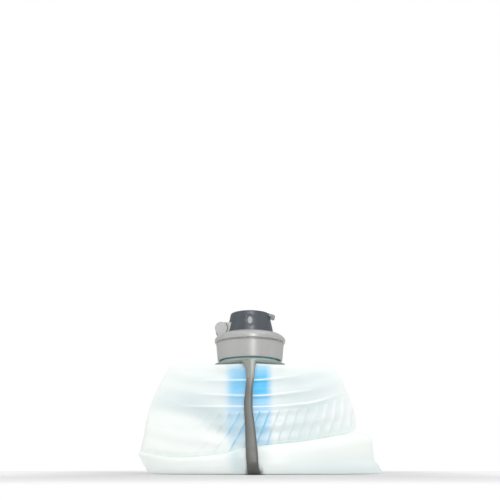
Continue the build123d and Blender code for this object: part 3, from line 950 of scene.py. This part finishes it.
@dataclass
class CarryStrap:
    """The moulded loop that holds the bottle folded, and the webs that join it to its collar.

    Args:
        edges_mm: height, left edge and right edge of the front run, from the top down.
        thickness: thickness of the band.
        ridge: height of the rib down the middle of its upper part.
        around: mesh columns round the band's section.
        steps: mesh rows along the band.
    """

    edges_mm: tuple[tuple[float, float, float], ...] = (
        (76.0, -3.6, 3.6),
        (70.0, -2.5, 3.0),
        (64.0, -2.4, 2.9),
        (55.0, -3.1, 1.9),
        (44.0, -4.0, 1.7),
        (30.0, -3.2, 3.3),
        (16.0, -2.8, 4.8),
        (5.0, -2.1, 5.6),
        (0.0, -1.8, 7.4),
    )
    thickness: float = 2.0
    ridge: float = 0.5
    around: int = 40
    steps: int = 300

    def route(self) -> np.ndarray:
        """Middle line of the loop in millimetres, from the front root round to the back root.

        Corners are filleted: the line through the points is smoothed by a monotone curve along its
        own length.

        Returns:
            Points (y, z), shape (steps, 2).
        """
        low, high = box_mm("carry_strap")
        top = high[2] - 0.5 * self.thickness
        foot = low[2] + 0.5 * self.thickness
        shoulder = [(25.6, 0.2), (27.6, 1.0), (29.2, 3.4), (30.2, 7.4), (31.4, 17.0), (32.6, 29.0)]
        flank = [(33.3, 43.0), (34.2, 55.0), (36.2, 62.5), (36.6, 67.0), (35.2, 71.0)]
        upper = [(y, top - drop) for y, drop in shoulder + flank]
        half = np.array([*upper, (31.4, foot + 0.3), (27.0, foot), (0.0, foot)])
        front = half * (-1.0, 1.0)
        whole = np.concatenate([front, half[-2::-1]])
        length = np.concatenate([[0.0], np.cumsum(np.linalg.norm(np.diff(whole, axis=0), axis=1))])
        at = np.linspace(0.0, length[-1], self.steps)
        return monotone_spline(length, whole, at)

    def build_band(self) -> bpy.types.Object:
        """Make the band: a rounded oblong section carried along the loop.

        The section is x = w |cos a|^0.45 and t = h |sin a|^0.6, each with its sign, and a bell-shaped
        ridge stands on its outer face.

        Returns:
            The piece, which rides on the strap.
        """
        route = self.route()
        outward = route_normals(route)
        table = np.array(self.edges_mm)[::-1]
        edges = monotone_spline(table[:, 0], table[:, 1:], np.clip(route[:, 1], 0.0, 76.0))
        middle, half = edges.mean(axis=1), 0.5 * (edges[:, 1] - edges[:, 0])
        angle = ring_angles(self.around)
        wide, thick = rounded_oblong(angle, 0.45, 0.6)
        upper = smoothstep(38.0, 66.0, route[:, 1])[:, None]
        crest = self.ridge * bell(wide, 0.35, 0.22) * (thick > 0.3)
        lift = 0.5 * self.thickness * thick - 0.15 * self.thickness * (thick > 0) * wide**2
        lift = lift + crest * upper
        x = middle[:, None] + half[:, None] * wide
        yz = route[:, None, :] + lift[..., None] * outward[:, None, :]
        points = np.concatenate([x[..., None], yz], axis=-1)
        piece = add_piece("strap_band", points * MM, capped_tube(self.steps, self.around))
        # Painted light: a painted highlight along the ridge of the upper part and a paler top, where light
        # from above falls; the band is a little darker towards its foot.
        pale = 0.75 * bell(wide, 0.35, 0.3) * (thick > 0) * smoothstep(52.0, 72.0, route[:, 1:])
        pale = pale + 0.30 * smoothstep(50.0, 74.0, route[:, 1:]) + 0.06
        dark = 1.0 - smoothstep(4.0, 26.0, route[:, 1:])
        add_mask(piece, "stretched", np.clip(pale - 0.06 * dark, 0.0, 1.0))
        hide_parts("carry_strap")
        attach(piece, "strap")
        return piece

    def build_web(self, name: str, side: float) -> bpy.types.Object:
        """Make the flared web between the collar and the band.

        Args:
            name: name of the piece.
            side: -1 for the front web and 1 for the back one.

        Returns:
            The piece.
        """
        # Distance from the middle plane, height, left edge, right edge and half thickness of each section.
        spine = np.array(
            [
                (22.9, 75.3, -8.5, 4.6, 0.45),
                (25.2, 75.0, -7.2, 4.3, 0.80),
                (27.6, 73.9, -5.6, 4.0, 1.10),
                (29.2, 71.2, -4.0, 3.7, 1.25),
                (30.2, 67.4, -2.8, 3.2, 1.25),
                (31.0, 62.0, -2.5, 2.8, 0.90),
            ]
        )
        at = np.linspace(0.0, len(spine) - 1.0, 64)
        line = monotone_spline(np.arange(len(spine), dtype=float), spine, at)
        yz, thick = line[:, :2], line[:, 4]
        middle, half = 0.5 * (line[:, 2] + line[:, 3]), 0.5 * (line[:, 3] - line[:, 2])
        outward = -route_normals(yz)
        angle = ring_angles(self.around)
        wide, high = rounded_oblong(angle, 0.6, 0.8)
        x = middle[:, None] + half[:, None] * wide
        offset = yz[:, None, :] + (thick[:, None] * high)[..., None] * outward[:, None, :]
        points = np.stack([x, side * offset[..., 0], offset[..., 1]], axis=-1)
        piece = add_piece(name, points * MM, capped_tube(len(at), self.around, flip=side > 0))
        # Painted light: the web is paler all over, like the top of the band, with a painted highlight along
        # its outer face.
        pale = 0.34 + 0.5 * bell(wide, 0.55, 0.28) * (high > 0)
        add_mask(piece, "stretched", np.broadcast_to(pale, x.shape))
        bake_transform(piece)
        return piece


def capped_tube(rows: int, columns: int, flip: bool = False) -> list[list[int]]:
    """Faces of a tube with a flat cap at each end.

    Args:
        rows: number of rings.
        columns: points in a ring.
        flip: whether the faces are turned over.

    Returns:
        Point indices of each face.
    """
    quads = grid_quads(rows, columns).tolist()
    first = list(range(columns))[::-1]
    last = [(rows - 1) * columns + number for number in range(columns)]
    faces = [*quads, first, last]
    return [face[::-1] for face in faces] if flip else faces


# ---------- the hinge


@dataclass
class HingeCheeks:
    """The two webs that fill the gap between the hinge ears and the side of the lid.

    Args:
        ear_clearance_mm: radius about the hinge that is left free for the ear.
        inner_mm: distance of a web's inner face from the middle plane.
        outer_mm: distance of its outer face.
        rise_mm: height of its top over the hinge.
        drop_mm: depth of its foot under the hinge.
        sink_mm: how far it is rooted in the lid's wall.
        lid_taper: loss of the lid's radius for each unit of height.
        rings: rings from foot to top.
        around: points round a ring.
    """

    ear_clearance_mm: float = 4.65
    inner_mm: float = 5.4
    outer_mm: float = 8.0
    rise_mm: float = 4.1
    drop_mm: float = 2.6
    sink_mm: float = 0.5
    lid_taper: float = 0.2123
    rings: int = 28
    around: int = 48

    def build(self, name: str, side: float) -> bpy.types.Object:
        """Make one web as a stack of level rings, each a rounded oblong between the ear and the lid.

        At a height h over the hinge the ring runs from x = sqrt(r^2 - h^2), clear of the ear, to the
        lid's wall at x = -sqrt(R^2 - y^2), where R shrinks with height as the lid tapers.

        Args:
            name: name of the piece.
            side: -1 for the front web and 1 for the back one.

        Returns:
            The piece, which rides on the lid.
        """
        lid_low, lid_high = box_mm("flip_lid")
        hinge_x, _, hinge_z = box_mm("hinge_pin").mean(axis=0)
        height = np.linspace(-self.drop_mm, self.rise_mm, self.rings)[:, None]
        angle = ring_angles(self.around)[None, :]
        round_off = 1.0 - 0.12 * smoothstep(self.rise_mm - 0.5, self.rise_mm, height) ** 2
        wide, thick = rounded_oblong(angle, 0.25, 0.35)
        share = 0.5 + 0.5 * wide
        middle, half = 0.5 * (self.inner_mm + self.outer_mm), 0.5 * (self.outer_mm - self.inner_mm)
        y = middle + half * thick * round_off
        ear = hinge_x + np.sqrt(self.ear_clearance_mm**2 - height**2)
        radius = lid_high[1] - self.lid_taper * (hinge_z + height - lid_low[2])
        wall = self.sink_mm - np.sqrt(radius**2 - y**2)
        x = ear + share * (wall - ear)
        points = np.stack([x, side * y, np.broadcast_to(hinge_z + height, x.shape)], axis=-1)
        piece = add_piece(name, points * MM, capped_tube(self.rings, self.around, flip=side < 0))
        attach(piece, "lid")
        return piece


# ---------- the filter


@dataclass
class FilterFibres:
    """The bundle of hollow fibres inside the filter.

    Args:
        strands: number of fibres drawn.
        radius: radius of one fibre.
        sides: points round a fibre.
        rings: points along a fibre.
    """

    strands: int = 110
    radius: float = 0.00055
    sides: int = 6
    rings: int = 14

    def build(self) -> bpy.types.Object:
        """Make the bundle: fibres set out like sunflower seeds, each waving gently on its way down.

        Fibre k stands at radius R sqrt(k / n) and angle k times 137.5 degrees, and is moved sideways
        by a sine of its height.

        Returns:
            The piece, which rides on the filter.
        """
        low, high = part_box("filter_fibres")
        bundle = 0.5 * (high.x - low.x) - 2.0 * self.radius
        number = np.arange(self.strands)
        reach = bundle * np.sqrt((number + 0.5) / self.strands)
        turn = np.radians(137.508) * number
        height = np.linspace(low.z + 0.0015, high.z - 0.0002, self.rings)
        wave = 0.0007 * np.sin(height[None, :] * 190.0 + number[:, None] * 1.7)
        centre_x = reach[:, None] * np.cos(turn)[:, None] + wave * np.cos(turn * 3.0)[:, None]
        centre_y = reach[:, None] * np.sin(turn)[:, None] + wave * np.sin(turn * 3.0)[:, None]
        around = ring_angles(self.sides)
        shape = (self.strands, self.rings, self.sides)
        points = np.stack(
            [
                centre_x[..., None] + self.radius * np.cos(around),
                centre_y[..., None] + self.radius * np.sin(around),
                np.broadcast_to(height[None, :, None], shape),
            ],
            axis=-1,
        )
        one = capped_tube(self.rings, self.sides)
        count = self.rings * self.sides
        faces = [[index + k * count for index in face] for k in range(self.strands) for face in one]
        piece = add_piece("fibre_bundle", points, faces)
        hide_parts("filter_fibres")
        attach(piece, "filter")
        return piece


# ---------- studio


@dataclass
class Studio:
    """Pale floor, soft lights and the camera.

    Args:
        camera_place: where the camera stands.
        camera_pitch_deg: how far it looks up.
        lens_mm: focal length on a 36 mm wide frame.
        shift_y: upward shift of the frame.
        fill: strength with which the surroundings light the bottle.
    """

    camera_place: tuple[float, float, float] = (0.0, -0.450, 0.00566)
    camera_pitch_deg: float = 12.5
    lens_mm: float = 46.04
    shift_y: float = 0.1482
    fill: float = 0.42

    def build(self) -> None:
        """Set the whole studio up."""
        self.build_floor()
        self.build_world()
        self.build_camera()
        scene = bpy.context.scene
        scene.view_settings.view_transform = "Standard"
        scene.view_settings.look = "None"
        self.add_light("key_above", (0.15, -0.25, 1.1), (0.0, 0.0, 0.0), (1.2, 1.0), 5.6)
        strip = self.add_light("front_strip", (0.20, -1.1, 0.38), (0.0, 0.0, 0.06), (0.08, 0.7), 11.5)
        strip.visible_diffuse = False
        self.add_light("front_fill", (0.0, -1.1, 0.85), (0.0, 0.0, 0.05), (0.9, 0.6), 3.2)
        self.add_light("left_wing", (-1.0, -0.35, 0.35), (0.0, 0.0, 0.05), (0.6, 0.8), 1.0)
        self.add_light("right_wing", (1.0, -0.15, 0.40), (0.0, 0.0, 0.05), (0.5, 0.8), 0.35)

    def build_floor(self) -> None:
        """Lay a wide pale floor, which isn't part of the object, with painted light: it glows more the
        further it lies from the bottle, so only the floor near the bottle keeps its shade.
        """
        reach = 6.0
        corners = np.array([(-1, -1, 0), (1, -1, 0), (1, 1, 0), (-1, 1, 0)], float) * reach
        floor = add_piece("studio_floor", corners, [[0, 1, 2, 3]], smooth=False)
        material = bpy.data.materials.new("studio_floor")
        material.use_nodes = True
        shader = material.node_tree.nodes["Principled BSDF"]
        shader.inputs["Base Color"].default_value = (0.79, 0.79, 0.79, 1.0)
        shader.inputs["Roughness"].default_value = 0.8
        shader.inputs["Specular IOR Level"].default_value = 0.1
        shader.inputs["Emission Color"].default_value = (1.0, 1.0, 1.0, 1.0)
        nodes = Nodes(material.node_tree)
        place = nodes.add("ShaderNodeTexCoord").outputs["Object"]
        apart = nodes.add("ShaderNodeSeparateXYZ")
        nodes.join(place, apart.inputs[0])
        aside = nodes.maths("ABSOLUTE", apart.outputs["X"], 0.0)
        away = nodes.add("ShaderNodeVectorMath", operation="LENGTH")
        nodes.join(place, away.inputs[0])
        paler = None
        # Painted light: the floor's glow rises to the sides, in front and with distance from the bottle.
        for value, start, end, glow in (
            (aside, 0.08, 0.20, 0.3),
            (apart.outputs["Y"], -0.13, -0.26, 0.3),
            (away.outputs["Value"], 0.10, 0.90, 1.0),
        ):
            ramp = nodes.add("ShaderNodeMapRange", input_1=start, input_2=end, input_3=0.0, input_4=glow)
            nodes.join(value, ramp.inputs[0])
            paler = ramp.outputs[0] if paler is None else nodes.maths("MAXIMUM", paler, ramp.outputs[0])
        nodes.join(paler, shader.inputs["Emission Strength"])
        floor.data.materials.append(material)

    def build_world(self) -> None:
        """Surround the studio with plain white, which lights the bottle less than it shows."""
        world = bpy.data.worlds.new("studio_world")
        world.use_nodes = True
        nodes = Nodes(world.node_tree)
        backdrop = world.node_tree.nodes["Background"]
        backdrop.inputs["Color"].default_value = (1.0, 1.0, 1.0, 1.0)
        seen = nodes.add("ShaderNodeLightPath").outputs["Is Camera Ray"]
        nodes.join(nodes.spread(seen, self.fill, 1.0), backdrop.inputs["Strength"])
        bpy.context.scene.world = world

    def build_camera(self) -> None:
        """Stand the camera low in front of the bottle."""
        camera = bpy.data.cameras.new("camera")
        camera.lens = self.lens_mm
        camera.sensor_width = 36.0
        camera.shift_y = self.shift_y
        camera.clip_start = 0.01
        stand = bpy.data.objects.new("camera", camera)
        stand.location = self.camera_place
        stand.rotation_euler = (radians(90.0 + self.camera_pitch_deg), 0.0, 0.0)
        bpy.context.scene.collection.objects.link(stand)
        bpy.context.scene.camera = stand

    def add_light(
        self,
        name: str,
        place: tuple[float, float, float],
        aim: tuple[float, float, float],
        size: tuple[float, float],
        power: float,
    ) -> bpy.types.Object:
        """Add one soft box.

        Args:
            name: name of the light.
            place: where it stands.
            aim: where it points.
            size: width and height.
            power: watts.

        Returns:
            The light.
        """
        light = bpy.data.lights.new(name, "AREA")
        light.shape = "RECTANGLE"
        light.size, light.size_y = size
        light.energy = power
        stand = bpy.data.objects.new(name, light)
        stand.location = place
        stand.rotation_euler = (Vector(aim) - Vector(place)).to_track_quat("-Z", "Y").to_euler()
        bpy.context.scene.collection.objects.link(stand)
        return stand


# ---------- the bottle


NODE_LOOKS: dict[Look, tuple[str, ...]] = {
    Look.FLOOR_FILM: ("base_disc",),
    Look.NECK: ("neck_ring",),
    Look.COLLAR: ("strap_collar",),
    Look.CAP: ("cap_skirt", "spout_deck"),
    Look.STEEL: ("hinge_pin",),
    Look.LID: ("flip_lid",),
    Look.SPOUT: ("drink_spout", "lid_liner"),
    Look.SEAL: ("cap_gasket", "lid_pad", "filter_o_rings"),
    Look.BADGE: ("badge_plate",),
    Look.INLAY: ("badge_inlay",),
    Look.FILTER_SHELL: ("filter_housing", "filter_cage"),
    Look.FILTER_END: ("filter_head", "filter_end_cap"),
    Look.RESIN: ("filter_potting",),
}


def main() -> None:
    """Build and dress every piece in order."""
    logging.basicConfig(level=logging.INFO, format="%(message)s")
    Studio().build()
    grain_group()
    materials = {look: finish.build() for look, finish in FINISHES.items()}
    dress_nodes(materials)
    strap = CarryStrap()
    cheeks = HingeCheeks()
    pieces = {
        FoldedFilm().build(): Look.FILM,
        strap.build_band(): Look.STRAP,
        strap.build_web("strap_web_front", -1.0): Look.STRAP,
        strap.build_web("strap_web_back", 1.0): Look.STRAP,
        cheeks.build("hinge_cheek_front", -1.0): Look.CAP,
        cheeks.build("hinge_cheek_back", 1.0): Look.CAP,
        FilterFibres().build(): Look.FIBRE,
    }
    for piece, look in pieces.items():
        piece.data.materials.append(materials[look])
        log.info("%s: %d faces, %s", piece.name, len(piece.data.polygons), look.value)


if __name__ == "__main__":
    main()
